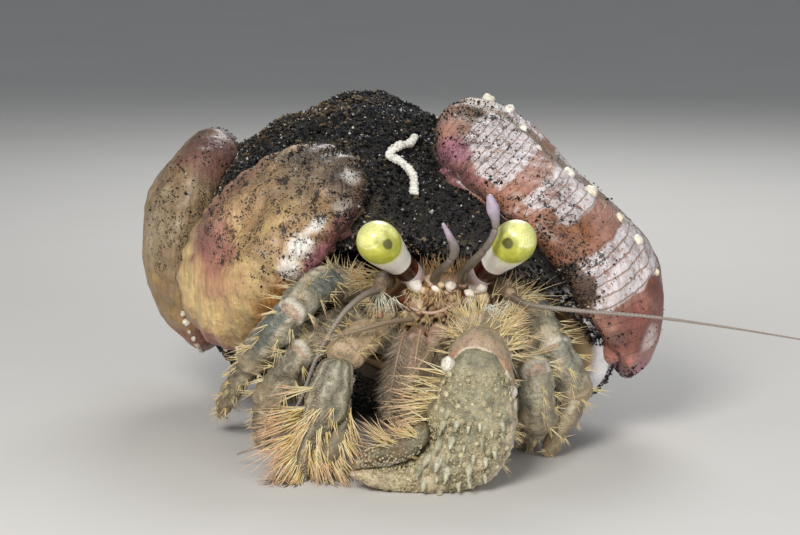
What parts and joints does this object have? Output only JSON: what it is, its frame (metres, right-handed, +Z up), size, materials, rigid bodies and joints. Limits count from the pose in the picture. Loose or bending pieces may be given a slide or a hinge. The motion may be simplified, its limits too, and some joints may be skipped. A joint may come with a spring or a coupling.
{
  "type": "hermit crab",
  "caption": "Hermit crab at life size in a sand-crusted snail shell that carries anemones, standing with its great claw folded across the front.",
  "frame": {"origin": "on the floor under the middle of the model's box", "axes": "+Z up, the crab looks along -Y, and its left side lies towards +X, with the shell's spire towards +Y and -X"},
  "size_m": [0.0879, 0.0813, 0.0432],
  "materials": {
    "shell": "rough, crusted with dark sand",
    "anemone": "wet, tan with dark speckles",
    "anemone_striped": "wet, rose with pale stripes",
    "crust": "grainy, grey green to tan",
    "joint": "satin, tan",
    "eye": "polished, yellow green",
    "stalk": "smooth, cream",
    "feeler": "smooth, grey brown",
    "tube": "chalky, white"
  },
  "bodies": {
    "root": {"shell": "shell", "anemone_front": "anemone", "anemone_right": "anemone", "anemone_left": "anemone_striped", "anemone_back": "anemone", "worm_tube": "tube", "carapace": "joint", "abdomen": "joint", "eye_stalk_right": "stalk", "eye_stalk_left": "stalk", "eye_right": "eye", "eye_left": "eye", "antennule_right": "feeler", "antennule_left": "feeler", "antenna_base_right": "crust", "antenna_base_left": "crust", "antenna_left": "feeler", "antenna_right": "feeler", "maxilliped_right": "joint", "maxilliped_left": "joint", "leg2_right_merus": "crust", "leg2_right_carpus": "crust", "leg2_right_propodus": "crust", "leg2_right_dactyl": "crust", "leg3_right_merus": "crust", "leg3_right_carpus": "crust", "leg3_right_propodus": "crust", "leg3_right_dactyl": "crust", "leg2_left_merus": "crust", "leg2_left_carpus": "crust", "leg2_left_propodus": "crust", "leg2_left_dactyl": "crust", "leg3_left_merus": "crust", "leg3_left_carpus": "crust", "leg3_left_propodus": "crust", "leg3_left_dactyl": "crust", "claw_left_merus": "crust", "claw_left_carpus": "crust", "claw_left_palm": "crust", "claw_left_finger": "crust", "claw_right_merus": "crust", "claw_right_carpus": "crust", "claw_right_palm": "crust", "claw_right_finger": "crust"}
  },
  "joints": []
}
